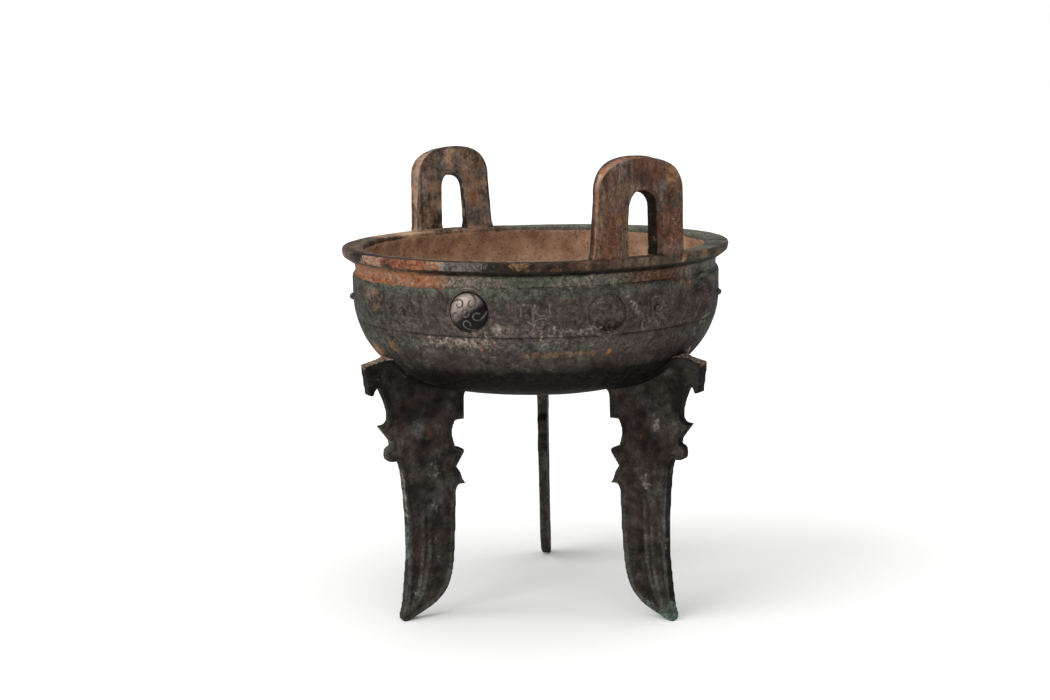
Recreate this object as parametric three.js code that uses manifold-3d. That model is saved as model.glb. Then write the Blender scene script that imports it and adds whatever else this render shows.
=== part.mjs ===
// Round bronze ding: a shallow cauldron with an out-turned rim, two upright handles, a raised band
// of whorl bosses and three flat legs, all poured in one casting.
// Millimetres and degrees. Z is up, the origin is on the ground under the bowl's axis, and X runs
// through both handles.
import * as THREE from 'three';
import { mergeVertices } from 'three/addons/utils/BufferGeometryUtils.js';
import Module from 'manifold-3d';

// Rim and neck
const rimRadius = 150;
const rimTop = 288.2;
const rimOpening = 133;
const rimEdgeBottom = 281.2;
const rimTaper = 1.3;
const rimChamfer = 0.7;
const neckRadius = 140.2;
const neckTop = 275.5;

// Bowl: a flat-domed bottom arc that turns smoothly into the side arc
const bellyRadius = 142.6;
const bellyHeight = 250.7;
const sideArc = 68.7;
const bottomArc = 350;
const wall = 4;

// Raised band around the belly
const bandTop = 268.5;
const bandBottom = 234.5;
const borderGroove = 1.3;
const borderDepth = 0.8;

// Whorl bosses and eye studs on the band
const bossCount = 9;
const bossHeightAbove = 252;
const bossRadius = 15.3;
const domeRadius = 12;
const domeRise = 5.2;
const proudDomeRise = 6.6;
const proudBoss = -50;
const whorlArms = 5;
const whorlTwist = 110;
const whorlDepth = 0.5;
const eyeRadius = 2.9;
const eyeTwist = -2.7;

// Handles: arches on the rim, narrower on the face that looks into the bowl
const handleTop = 358.3;
const handleShoulder = 333;
const handleHalfWidth = 34.5;
const handleFootHalfWidth = 36.8;
const handleFlare = 1.6;
const handleCorner = 2.3;
const handleTaper = 0.075;
const archTop = 334.7;
const archSpring = 321;
const archHalfWidth = 13.3;
const archFootHalfWidth = 14.7;
const archTaper = 0.13;
const handleFace = 147;
const handleThickness = 14.5;
const channelDepth = 1.2;

// Legs: flat blades that stand in planes through the axis, all turned a little the same way
const legCount = 3;
const legAngle = 30;
const legTwist = -3.3;
const legThickness = 8;
const legRootSwell = 1.25;
const footInner = 118.6;
const footOuter = 122.4;

const turnSteps = 56;
const radians = THREE.MathUtils.degToRad;
const wasm = await Module();
wasm.setup();

// A closed geometry as a solid: vertices are shared, and triangles that shrink to a line are dropped.
function solid(geometry) {
  geometry.deleteAttribute('normal');
  geometry.deleteAttribute('uv');
  const merged = mergeVertices(geometry);
  const index = merged.index.array;
  const triVerts = [];
  for (let i = 0; i < index.length; i += 3) {
    const [a, b, c] = [index[i], index[i + 1], index[i + 2]];
    if (a !== b && b !== c && c !== a) triVerts.push(a, b, c);
  }
  const mesh = new wasm.Mesh({
    numProp: 3,
    vertProperties: Float32Array.from(merged.attributes.position.array),
    triVerts: Uint32Array.from(triVerts),
  });
  return new wasm.Manifold(mesh);
}

// A ring of closed loops, first to last, with both ends filled in. Each loop has the same count.
function loft(loops, contour) {
  const count = contour.length;
  const positions = loops.flat().flatMap((p) => [p.x, p.y, p.z]);
  const index = [];
  for (let s = 0; s < loops.length - 1; s++) {
    for (let i = 0; i < count; i++) {
      const j = (i + 1) % count;
      const [a, b] = [s * count + i, s * count + j];
      index.push(a, b, b + count, a, b + count, a + count);
    }
  }
  const last = (loops.length - 1) * count;
  for (const [a, b, c] of THREE.ShapeUtils.triangulateShape(contour, [])) {
    index.push(c, b, a, last + a, last + b, last + c);
  }
  const geometry = new THREE.BufferGeometry();
  geometry.setAttribute('position', new THREE.Float32BufferAttribute(positions, 3));
  geometry.setIndex(index);
  return geometry;
}

// The bowl's meridian from the axis up to a height on the side arc, moved inwards by an inset.
const sideCentre = bellyRadius - sideArc;
const bottomCentre = bellyHeight + Math.sqrt((bottomArc - sideArc) ** 2 - sideCentre ** 2);
const arcJoin = Math.asin(sideCentre / (bottomArc - sideArc)) - Math.PI / 2;

function bowlMeridian(inset, height, bottomSteps, sideSteps) {
  const end = Math.asin((height - bellyHeight) / (sideArc - inset));
  const bottom = new THREE.ArcCurve(0, bottomCentre, bottomArc - inset, -Math.PI / 2, arcJoin);
  const side = new THREE.ArcCurve(sideCentre, bellyHeight, sideArc - inset, arcJoin, end);
  const points = [...bottom.getPoints(bottomSteps), ...side.getPoints(sideSteps).slice(1)];
  points[0].x = 0;
  return points;
}

function bellyAt(height) {
  return sideCentre + Math.sqrt(sideArc ** 2 - (height - bellyHeight) ** 2);
}

// Bowl, band, neck and rim turned as one closed profile, with the hollow inside.
function bowl() {
  const grooveBottom = bandBottom - borderGroove;
  const lipBottom = neckTop - 2.5;
  const points = bowlMeridian(0, grooveBottom, 4, 6);
  points.push(new THREE.Vector2(bellyAt(grooveBottom) - borderDepth, grooveBottom + 0.2));
  points.push(new THREE.Vector2(bellyAt(bandBottom) - borderDepth, bandBottom - 0.2));
  for (const height of [bandBottom, 242, bellyHeight, bandTop - 1]) {
    points.push(new THREE.Vector2(bellyAt(Math.min(height, bellyHeight)), height));
  }
  points.push(new THREE.Vector2(neckRadius, bandTop));
  points.push(new THREE.Vector2(neckRadius, neckTop));
  points.push(new THREE.Vector2(rimRadius - rimTaper, rimEdgeBottom));
  points.push(new THREE.Vector2(rimRadius, rimEdgeBottom + 3));
  points.push(new THREE.Vector2(rimRadius, rimTop - rimChamfer));
  points.push(new THREE.Vector2(rimRadius - rimChamfer, rimTop));
  points.push(new THREE.Vector2(rimOpening + rimChamfer, rimTop));
  points.push(new THREE.Vector2(rimOpening, rimTop - rimChamfer));
  points.push(new THREE.Vector2(rimOpening, rimTop - 4));
  points.push(new THREE.Vector2(neckRadius - wall, lipBottom));
  points.push(...bowlMeridian(wall, bellyHeight, 3, 6).reverse());
  const turned = new THREE.LatheGeometry(points, turnSteps);
  return solid(turned.rotateX(Math.PI / 2));
}

// One boss as a dome inside a raised ring. Five shallow grooves sweep round the dome, along grid
// lines that twist as they go outwards. It is built on +X and turned to its place.
function whorlBoss(angle) {
  const rise = angle === proudBoss ? proudDomeRise : domeRise;
  const seat = bellyRadius + 0.4;
  const root = bellyRadius - wall * 0.7;
  const rings = [0.4, 0.7, 0.9].map((part) => {
    const radius = part * domeRadius;
    return { radius, height: seat + rise * Math.sqrt(1 - part ** 2), groove: whorlDepth };
  });
  rings.push({ radius: domeRadius, height: seat - 0.1, groove: 0 });
  rings.push({ radius: domeRadius + 1.7, height: seat + 0.7, groove: 0 });
  rings.push({ radius: bossRadius, height: seat - 0.2, groove: 0 });
  rings.push({ radius: bossRadius, height: root, groove: 0 });
  const steps = whorlArms * 4;
  const positions = [seat + rise, 0, 0, root, 0, 0];
  const index = [];
  rings.forEach((ring, r) => {
    const twist = radians(whorlTwist) * Math.min(ring.radius / domeRadius, 1);
    for (let i = 0; i < steps; i++) {
      const turn = (i / steps) * 2 * Math.PI - twist;
      const depth = i % 4 === 0 ? ring.groove : 0;
      positions.push(ring.height - depth, ring.radius * Math.cos(turn), ring.radius * Math.sin(turn));
      const j = (i + 1) % steps;
      const [a, b] = [2 + r * steps + i, 2 + r * steps + j];
      if (r === 0) index.push(0, a, b);
      else index.push(a, b - steps, a - steps, a, b, b - steps);
      if (r === rings.length - 1) index.push(1, b, a);
    }
  });
  const geometry = new THREE.BufferGeometry();
  geometry.setAttribute('position', new THREE.Float32BufferAttribute(positions, 3));
  geometry.setIndex(index);
  return solid(geometry.translate(0, 0, bossHeightAbove).rotateZ(radians(angle)));
}

function eyeStud(angle) {
  const ball = new THREE.SphereGeometry(eyeRadius, 10, 6).rotateX(Math.PI / 2);
  return solid(ball.translate(bellyRadius, 0, bossHeightAbove - 1).rotateZ(radians(angle)));
}

// A rounded arch line from its right foot over the top to its left foot. Its shoulders follow a
// superellipse, and power 2 gives a plain ellipse.
function archLine(halfWidth, spring, top, power, steps) {
  return Array.from({ length: steps + 1 }, (_, i) => {
    const turn = (i / steps) * Math.PI;
    const across = Math.sign(Math.cos(turn)) * Math.abs(Math.cos(turn)) ** (2 / power);
    const up = Math.sin(turn) ** (2 / power);
    return new THREE.Vector2(halfWidth * across, spring + (top - spring) * up);
  });
}

// One handle, a loft from its outer face to its inner face. A shallow channel runs along the edge
// between two lips, and the feet are sunk in the rim.
function handle(angle) {
  const root = rimTop - 4;
  const outer = archLine(handleHalfWidth, handleShoulder, handleTop, handleCorner, 14);
  const inner = archLine(archHalfWidth, archSpring, archTop, 2, 8).reverse();
  const stations = [[0, 0], [0.24, 0], [0.29, 1], [0.57, 1], [0.62, 0], [1, 0]];
  const loops = stations.map(([depth, channel]) => {
    const narrow = 1 - handleTaper * depth;
    const archNarrow = 1 - archTaper * depth;
    const inset = channelDepth * channel;
    const flat = [];
    for (const [width, height] of [
      [handleFootHalfWidth + handleFlare, root],
      [handleFootHalfWidth + handleFlare, rimTop + 0.5],
      [handleFootHalfWidth, rimTop + 5],
    ]) flat.push([width * narrow - inset, height]);
    for (const p of outer) {
      const out = new THREE.Vector2(p.x, p.y - handleShoulder).normalize();
      flat.push([p.x * narrow - inset * out.x, p.y - inset * out.y]);
    }
    flat.push(...flat.slice(0, 3).reverse().map(([width, height]) => [-width, height]));
    flat.push([-archFootHalfWidth * archNarrow, root]);
    flat.push(...inner.map((p) => [p.x * archNarrow, p.y]));
    flat.push([archFootHalfWidth * archNarrow, root]);
    return flat.map(([y, z]) => {
      const face = Math.min(handleFace, Math.sqrt((rimRadius - rimChamfer) ** 2 - y ** 2));
      return new THREE.Vector3(face - depth * (face - handleFace + handleThickness), y, z);
    });
  });
  const contour = loops[0].map((p) => new THREE.Vector2(p.y, p.z));
  return solid(loft(loops.reverse(), contour).rotateZ(radians(angle)));
}

// The outline of one leg, distance from the axis against height: a narrow foot, a long blade, hooks
// and spikes on both edges, and a root that ends in the middle of the bowl's wall.
function legOutline() {
  const points = (list) => list.map(([r, z]) => new THREE.Vector2(r, z));
  const shape = new THREE.Shape();
  shape.moveTo(footInner, 0);
  shape.lineTo(footOuter, 0);
  shape.splineThru(points([[122.9, 4.5], [120.9, 12], [118.2, 34], [116.3, 56], [116.9, 90], [119, 118]]));
  shape.lineTo(121.5, 127.8);
  shape.lineTo(127.7, 126.7);
  shape.splineThru(points([[131.3, 131.8], [130.6, 137.7], [127.1, 140]]));
  shape.lineTo(127.9, 144);
  shape.lineTo(136.6, 155.8);
  shape.lineTo(131.6, 156.2);
  shape.splineThru(points([[127, 160], [128.4, 167], [131.4, 176.7]]));
  shape.lineTo(135.8, 184.4);
  shape.lineTo(139.5, 180.3);
  shape.lineTo(144.5, 181);
  shape.lineTo(147.2, 203.8);
  const root = bowlMeridian(wall / 2, 209, 12, 6).filter((p) => p.x > 68).reverse();
  for (const p of root) shape.lineTo(p.x, p.y);
  shape.lineTo(67.9, 154.8);
  shape.lineTo(75.6, 154.4);
  shape.splineThru(points([[78, 148.4], [78.1, 141.7], [76.1, 133.5]]));
  shape.lineTo(69.5, 131.3);
  shape.lineTo(68.2, 129);
  shape.lineTo(75.5, 117.8);
  shape.lineTo(71, 110.9);
  shape.lineTo(67.7, 103.3);
  shape.lineTo(76.3, 99.4);
  shape.splineThru(points([[77.6, 72], [80, 40], [85.6, 21.4], [96.4, 10.2], [111.4, 3]]));
  shape.closePath();
  return shape;
}

function leg(angle) {
  const blade = new THREE.ExtrudeGeometry(legOutline(), {
    depth: legThickness, bevelEnabled: false, curveSegments: 2,
  });
  blade.translate(0, 0, -legThickness / 2).rotateX(Math.PI / 2);
  const position = blade.attributes.position;
  for (let i = 0; i < position.count; i++) {
    const swell = THREE.MathUtils.smoothstep(position.getZ(i), 140, 205);
    position.setY(i, position.getY(i) * (1 + (legRootSwell - 1) * swell));
  }
  return solid(blade.rotateZ(radians(angle)));
}

// The casting: everything joined into one body.
let casting = bowl();
for (let i = 0; i < bossCount; i++) {
  const pitch = 360 / bossCount;
  casting = casting.add(whorlBoss(proudBoss + i * pitch));
  casting = casting.add(eyeStud(proudBoss + (i + 0.5) * pitch + eyeTwist));
}
for (const angle of [0, 180]) casting = casting.add(handle(angle));
for (let i = 0; i < legCount; i++) {
  casting = casting.add(leg(legAngle + legTwist + (i * 360) / legCount));
}

const { vertProperties, triVerts } = casting.getMesh();
const geometry = new THREE.BufferGeometry();
geometry.setAttribute('position', new THREE.BufferAttribute(vertProperties, 3));
geometry.setIndex(new THREE.BufferAttribute(triVerts, 1));
geometry.computeVertexNormals();

const bronze = new THREE.MeshStandardMaterial({
  color: '#4a443c', roughness: 0.6, metalness: 0.6, flatShading: true,
});
const vessel = new THREE.Mesh(geometry, bronze);
vessel.name = 'ding_vessel';
const group = new THREE.Group();
group.add(vessel);

export default group;
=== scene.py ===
import itertools
import math

import bpy
import numpy as np
from mathutils import Matrix, Vector


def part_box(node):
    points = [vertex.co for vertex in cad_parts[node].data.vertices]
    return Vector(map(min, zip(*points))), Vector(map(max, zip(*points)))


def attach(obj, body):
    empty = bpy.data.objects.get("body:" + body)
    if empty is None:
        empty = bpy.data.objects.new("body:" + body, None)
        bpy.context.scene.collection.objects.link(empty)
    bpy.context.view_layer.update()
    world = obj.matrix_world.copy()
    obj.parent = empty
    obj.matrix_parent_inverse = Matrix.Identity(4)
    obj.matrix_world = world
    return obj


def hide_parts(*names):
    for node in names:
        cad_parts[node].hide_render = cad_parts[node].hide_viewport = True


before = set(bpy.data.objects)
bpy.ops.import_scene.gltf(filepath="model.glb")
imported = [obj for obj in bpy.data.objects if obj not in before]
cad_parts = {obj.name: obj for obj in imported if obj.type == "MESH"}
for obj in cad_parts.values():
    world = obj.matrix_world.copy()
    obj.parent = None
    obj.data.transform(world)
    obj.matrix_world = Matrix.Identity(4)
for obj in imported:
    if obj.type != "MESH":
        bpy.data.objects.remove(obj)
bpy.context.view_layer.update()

# The photographer's place: about 1.2 m from the vessel's axis and a little above the rim, looking
# down by under ten degrees. The rim circle and the three feet fix it. Lengths in metres.
view_azimuth = 59.3
view_distance, view_height = 1.228, 0.411
yaw, pitch, roll = math.radians(-0.44), math.radians(9.66), math.radians(-1.11)
focal_pixels, photo_width = 1575, 1050
azimuth = math.radians(view_azimuth)
across = Vector((math.cos(azimuth), math.sin(azimuth), 0))
away = Vector((-math.sin(azimuth), math.cos(azimuth), 0))
upward = Vector((0, 0, 1))
forward = (across * math.sin(yaw) + away * math.cos(yaw)) * math.cos(pitch) - upward * math.sin(pitch)
level = across * math.cos(yaw) - away * math.sin(yaw)
head = level.cross(forward)
right = level * math.cos(roll) + head * math.sin(roll)
top = head * math.cos(roll) - level * math.sin(roll)
camera_data = bpy.data.cameras.new("photo_camera")
camera_data.sensor_width = 36
camera_data.lens = camera_data.sensor_width * focal_pixels / photo_width
camera_data.clip_end = 100
camera = bpy.data.objects.new("photo_camera", camera_data)
place = Matrix((right, top, -forward)).transposed().to_4x4()
place.translation = upward * view_height - away * view_distance
camera.matrix_world = place
bpy.context.scene.collection.objects.link(camera)
bpy.context.scene.camera = camera
bpy.context.scene.view_settings.view_transform = "Standard"

# The studio: a white tent lit from all round, more strongly through its roof and through a panel
# high on the left, and a pale table that runs out of view. The tent is seen as bright as the table.
world = bpy.data.worlds.new("white_tent")
world.use_nodes = True
tent = world.node_tree.nodes["Background"]
tent.inputs["Color"].default_value = (1, 1, 1, 1)
tent_seen, tent_light = 1.0, 0.5
seen = world.node_tree.nodes.new("ShaderNodeLightPath")
strength = world.node_tree.nodes.new("ShaderNodeMapRange")
strength.inputs["To Min"].default_value = tent_light
strength.inputs["To Max"].default_value = tent_seen
world.node_tree.links.new(seen.outputs["Is Camera Ray"], strength.inputs["Value"])
world.node_tree.links.new(strength.outputs[0], tent.inputs["Strength"])
bpy.context.scene.world = world


def tent_panel(name, aside, back, height, spread, power):
    """Light from far away in one direction, from a panel that fills spread degrees of the view."""
    lamp = bpy.data.lights.new(name, "SUN")
    lamp.energy = power
    lamp.angle = math.radians(spread)
    body = bpy.data.objects.new(name, lamp)
    toward = across * aside + away * back + upward * height
    body.rotation_euler = toward.to_track_quat("Z", "Y").to_euler()
    bpy.context.scene.collection.objects.link(body)


tent_panel("roof_panel", 0.1, -0.2, 1, 70, 1.5)
tent_panel("left_panel", -0.75, -0.35, 0.62, 50, 1.9)


def linear(code):
    """An sRGB hex colour as linear red, green, blue and alpha."""
    parts = [int(code[i:i + 2], 16) / 255 for i in (1, 3, 5)]
    return [p / 12.92 if p <= 0.04045 else ((p + 0.055) / 1.055) ** 2.4 for p in parts] + [1]


table_size = 30
table_mesh = bpy.data.meshes.new("pale_table")
corners = [(-1, -1), (1, -1), (1, 1), (-1, 1)]
table_mesh.from_pydata([(x * table_size, y * table_size, 0) for x, y in corners], [], [(0, 1, 2, 3)])
table = bpy.data.objects.new("pale_table", table_mesh)
bpy.context.scene.collection.objects.link(table)
matt_white = bpy.data.materials.new("matt_white_table")
matt_white.use_nodes = True
table_shader = matt_white.node_tree.nodes["Principled BSDF"]
table_shader.inputs["Base Color"].default_value = linear("#f6f6f5")
table_shader.inputs["Roughness"].default_value = 0.9
table_mesh.materials.append(matt_white)

# The bronze's surface: tin bronze poured in clay moulds and buried for some 2500 years. Brown-black
# oxide covers most of it, with grey-green carbonate, rust-red oxide and tan soil crusts over it.
# It is matt and mottled, with a dull metal shine only where it is rubbed.
mm = 0.001
patina = bpy.data.materials.new("buried_cast_bronze")
patina.use_nodes = True
tree = patina.node_tree
bronze_shader = tree.nodes["Principled BSDF"]


def add(kind, settings=None, links=None):
    """Adds a node. Settings are its own options or its sockets' plain values, links its inputs."""
    made = tree.nodes.new("ShaderNode" + kind)
    for name, value in (settings or {}).items():
        if isinstance(name, int) or name in made.inputs:
            made.inputs[name].default_value = value
        else:
            setattr(made, name, value)
    for name, source in (links or {}).items():
        tree.links.new(source, made.inputs[name])
    return made


place_on_piece = add("TexCoord").outputs["Object"]


def mottle(size, detail=6, roughness=0.65, warp=0.0, place=place_on_piece):
    """Noise whose largest swells are size millimetres wide."""
    settings = {"Scale": 1 / (size * mm), "Detail": detail, "Roughness": roughness, "Distortion": warp}
    return add("TexNoise", settings, {"Vector": place}).outputs["Fac"]


def attribute(mark):
    """A value from 0 to 1 that each piece's mesh carries."""
    return add("Attribute", {"attribute_name": mark}).outputs["Fac"]


def grown(mark, noise, line=0.95, edge=0.04):
    """Where a coat has grown: a mark on the mesh and a noise cross a line together."""
    total = add("Math", {"operation": "ADD"}, {0: attribute(mark), 1: noise}).outputs[0]
    limits = {"From Min": line - edge, "From Max": line + edge}
    return add("MapRange", limits, {"Value": total}).outputs[0]


def two_tone(dark, light, noise, low=0.38, high=0.62):
    """A dark colour where the noise is low, a light one where it is high."""
    share = add("MapRange", {"From Min": low, "From Max": high}, {"Value": noise})
    tones = {"data_type": "RGBA", 6: linear(dark), 7: linear(light)}
    return add("Mix", tones, {0: share.outputs[0]}).outputs[2]


def coat(under, over, share, strength=1):
    """Lays one colour or value over another where share is 1, and thinner where strength is less."""
    if strength != 1:
        share = add("Math", {"operation": "MULTIPLY", 1: strength}, {0: share}).outputs[0]
    colours = over.type == "RGBA"
    kind = {"data_type": "RGBA"} if colours else {}
    sockets = (6, 7) if colours else (2, 3)
    links = {0: share, sockets[0]: under, sockets[1]: over}
    return add("Mix", kind, links).outputs[2 if colours else 0]


run_down = 0.28
drawn_down = add("Mapping", {"Scale": (1, 1, run_down)}, {"Vector": place_on_piece}).outputs[0]
streaks = mottle(4, 7, 0.7, place=drawn_down)
fine = mottle(3.5, 8, 0.75)
umber_share = grown("umber", mottle(9, 9, 0.7), edge=0.15)
green_share = grown("green", mottle(7, 9, 0.7, 0.1), edge=0.12)
bloom_and_light_share = grown("bloom_and_painted_light", mottle(8, 9, 0.7, place=drawn_down), edge=0.12)
rust_share = grown("rust", mottle(8, 9, 0.72, 0.1), edge=0.10)
tan_share = grown("tan", mottle(5, 9, 0.75, 0.1), edge=0.08)
ochre_share = grown("ochre", mottle(5, 9, 0.75, 0.1), edge=0.08)
earth_share = grown("earth", mottle(10, 9, 0.7), edge=0.15)
verdigris_share = grown("verdigris", mottle(5, 9, 0.7, 0.1), edge=0.08)
russet_share = grown("russet", mottle(9, 9, 0.72, 0.1), edge=0.12)
soot_and_shade_share = grown("soot_and_painted_shade", mottle(12), edge=0.25)
strokes = add("MapRange", {"From Min": 0.58, "From Max": 0.66}, {"Value": streaks})
strokes = add("Math", {"operation": "MULTIPLY"}, {0: strokes.outputs[0], 1: umber_share})
flecks = add("MapRange", {"From Min": 0.60, "From Max": 0.68}, {"Value": mottle(2.0, 4)})
colour = two_tone("#2c2725", "#514845", mottle(13, 7, 0.7), 0.36, 0.64)
colour = coat(colour, two_tone("#3a3330", "#5c524c", fine), mottle(26), 0.7)
colour = coat(colour, two_tone("#40332b", "#6d5849", streaks, 0.4, 0.6), umber_share)
colour = coat(colour, two_tone("#8a7460", "#7f8270", mottle(7)), strokes.outputs[0], 0.55)
colour = coat(colour, two_tone("#432a20", "#704636", fine), russet_share, 0.8)
colour = coat(colour, two_tone("#414740", "#66695c", fine), green_share, 0.8)
# Grey bloom; on the crusted bosses it also paints light on their upper-left side.
colour = coat(colour, two_tone("#4b4a4a", "#82807e", fine), bloom_and_light_share, 0.75)
colour = coat(colour, two_tone("#5d6357", "#8a7b67", mottle(6)), flecks.outputs[0], 0.4)
# Near-black soot, which also paints shade under the belly, on the crusted bosses' lower part, at the top of
# one leg and inside the handles' openings.
colour = coat(colour, two_tone("#110e0c", "#211d1a", mottle(5)), soot_and_shade_share, 0.94)
colour = coat(colour, two_tone("#836955", "#c5a288", mottle(17, 9, 0.6), 0.3, 0.72), earth_share)
colour = coat(colour, two_tone("#633a29", "#a3683f", fine), rust_share, 0.85)
colour = coat(colour, two_tone("#604833", "#97734f", fine), ochre_share, 0.75)
colour = coat(colour, two_tone("#5f544d", "#988a7e", mottle(2.5)), tan_share, 0.8)
colour = coat(colour, two_tone("#3c5049", "#72897b", mottle(2.5)), verdigris_share, 0.8)

# Dark pits about 1.6 mm wide all over, coarser than the real ones so that they show. Dirt lies in the cut
# lines, and painted shade darkens the slope under the rim's overhang; the groove under the band and the gap
# round each boss are darkened too. What is handled most is rubbed from near black to bright, and on the
# rubbed boss this is also a painted highlight on its upper-left side with painted shade below.
pits = add("MapRange", {"From Min": 0.43, "From Max": 0.35}, {"Value": mottle(2.1, 5)})
colour = coat(colour, two_tone("#171412", "#231f1b", mottle(6)), pits.outputs[0], 0.6)
colour = coat(colour, two_tone("#120f0d", "#1f1a17", mottle(5)), attribute("hollow"), 0.92)
rub_and_painted_light = attribute("rub_and_painted_light")
handled_and_lit = add("MapRange", {"From Max": 0.5}, {"Value": rub_and_painted_light})
colour = coat(colour, two_tone("#0e0c0b", "#8c7e77", rub_and_painted_light, 0.6, 1.0), handled_and_lit.outputs[0])
colour = coat(colour, two_tone("#665d55", "#857a70", mottle(3)), attribute("fill"))
strong = {"From Min": 0.35, "From Max": 0.65, "To Min": 0.55, "To Max": 1.45}
mild = {"From Min": 0.3, "From Max": 0.7, "To Min": 0.8, "To Max": 1.2}
speckle = add("MapRange", strong, {"Value": mottle(3, 6, 0.8)}).outputs[0]
soil_speckle = add("MapRange", mild, {"Value": mottle(4, 6, 0.7)}).outputs[0]
speckle = coat(speckle, soil_speckle, earth_share)
colour = add("VectorMath", {"operation": "SCALE"}, {0: colour, "Scale": speckle}).outputs[0]
tree.links.new(colour, bronze_shader.inputs["Base Color"])

# The crusts are dull and hide the metal, and the bare oxide and the rubbed boss keep some shine.
crust = earth_share
for share in (tan_share, rust_share, umber_share):
    crust = add("Math", {"operation": "MAXIMUM"}, {0: crust, 1: share}).outputs[0]
shine = add("MapRange", {"To Min": 0.42, "To Max": 0.62}, {"Value": mottle(6)}).outputs[0]
dull = add("MapRange", {"To Min": 0.7, "To Max": 0.9}, {"Value": mottle(3)}).outputs[0]
tree.links.new(coat(shine, dull, crust), bronze_shader.inputs["Roughness"])
polish_limits = {"From Min": 0.4, "From Max": 0.9, "To Max": 0.65}
lustre = add("MapRange", polish_limits, {"Value": rub_and_painted_light}).outputs[0]
tree.links.new(lustre, bronze_shader.inputs["Coat Weight"])
bronze_shader.inputs["Coat Roughness"].default_value = 0.36
bare = add("MapRange", {"To Min": 0.75, "To Max": 0.0}, {"Value": crust}).outputs[0]
tree.links.new(bare, bronze_shader.inputs["Metallic"])
bronze_shader.inputs["Specular IOR Level"].default_value = 0.2
bronze_shader.inputs["Specular Tint"].default_value = (0.3, 0.3, 0.3, 1)
grain = add("Bump", {"Strength": 0.7, "Distance": 0.25 * mm}, {"Height": mottle(1.4, 5)})
swell = add("Bump", {"Strength": 0.8, "Distance": 0.6 * mm},
            {"Height": mottle(5, 6), "Normal": grain.outputs[0]})
tree.links.new(swell.outputs[0], bronze_shader.inputs["Normal"])

# The bowl: the wall is about 4 mm. Its flat rim turns out over a short neck, and the belly is a
# side arc that runs into a nearly flat floor. Lengths from here on in millimetres.
low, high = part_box("ding_vessel")
rim_radius = high.x / mm
rim_top = 288.2
belly_radius, belly_height = 142.6, 250.7
side_arc, floor_arc, wall = 68.7, 350, 4
neck_radius = 140.2
band_bottom, band_top = 234.5, 268.5
below_groove, groove_depth = 232.8, 1.1
side_centre = belly_radius - side_arc
floor_centre = belly_height + math.sqrt((floor_arc - side_arc) ** 2 - side_centre ** 2)
arc_join = math.asin(side_centre / (floor_arc - side_arc))


def lattice(points, seed):
    """Smooth random values from -1 to 1, one for each point, on a lattice one unit wide."""
    cell = np.floor(points).astype(np.int64)
    part = points - cell
    fade = part ** 3 * (part * (part * 6 - 15) + 10)
    total = 0
    for corner in itertools.product((0, 1), repeat=3):
        key = cell + corner
        mixed = key[:, 0] * 73856093 ^ key[:, 1] * 19349663 ^ key[:, 2] * 83492791 ^ seed * 40503
        mixed = ((mixed ^ (mixed >> 13)) * 1274126177) & 0x7FFFFFFF
        value = ((mixed ^ (mixed >> 15)) & 0xFFFF) / 32767.5 - 1
        weight = np.prod(np.where(corner, fade, 1 - fade), axis=1)
        total = total + weight * value
    return total


def uneven(points, size, seed, octaves=3):
    """Cast unevenness: values about -1 to 1 whose largest swells are size millimetres wide."""
    total = 0
    for octave in range(octaves):
        total = total + lattice(points * 2 ** octave / size + 17.3 * octave, seed + octave) / 2 ** octave
    return total / 1.5


def smooth(low_edge, high_edge, value):
    """0 at and before the first edge, 1 at and past the second, with a soft rise between."""
    part = np.clip((value - low_edge) / (high_edge - low_edge), 0, 1)
    return part * part * (3 - 2 * part)


def near(value, centre, half, fade):
    """1 within half of the centre, falling to 0 over fade."""
    return 1 - smooth(half, half + fade, np.abs(value - centre))


def belly_at(height):
    """The belly's outer radius at a height. Above its widest point the band stands upright."""
    drop = np.maximum(belly_height - height, 0)
    return side_centre + np.sqrt(np.maximum(side_arc ** 2 - drop ** 2, 0))


def off_belly(radius, height):
    """How far outside the bowl's belly and underside a point is."""
    from_floor = np.hypot(radius, floor_centre - height) - floor_arc
    from_side = np.hypot(radius - side_centre, belly_height - height) - side_arc
    return np.where(radius > floor_arc * math.sin(arc_join), from_side, from_floor)


def arc(radius_out, height, radius, start, end, step):
    """Points on an arc, with the angle measured from straight down."""
    count = max(2, round(abs(end - start) * radius / step))
    turn = np.linspace(start, end, count + 1)
    return np.stack([radius_out + radius * np.sin(turn), height - radius * np.cos(turn)], axis=1)


def soften(points, rounds=2):
    """An open line with its corners cut, as a worn edge is."""
    for _ in range(rounds):
        first = points[:-1] * 0.75 + points[1:] * 0.25
        second = points[:-1] * 0.25 + points[1:] * 0.75
        inner = np.stack([first, second], axis=1).reshape(-1, points.shape[1])
        points = np.vstack([points[:1], inner, points[-1:]])
    return points


def spaced(points, count):
    """The same line with its points evenly spaced."""
    length = np.r_[0, np.cumsum(np.linalg.norm(np.diff(points, axis=0), axis=1))]
    stops = np.linspace(0, length[-1], count)
    return np.stack([np.interp(stops, length, points[:, k]) for k in range(points.shape[1])], axis=1)


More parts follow.
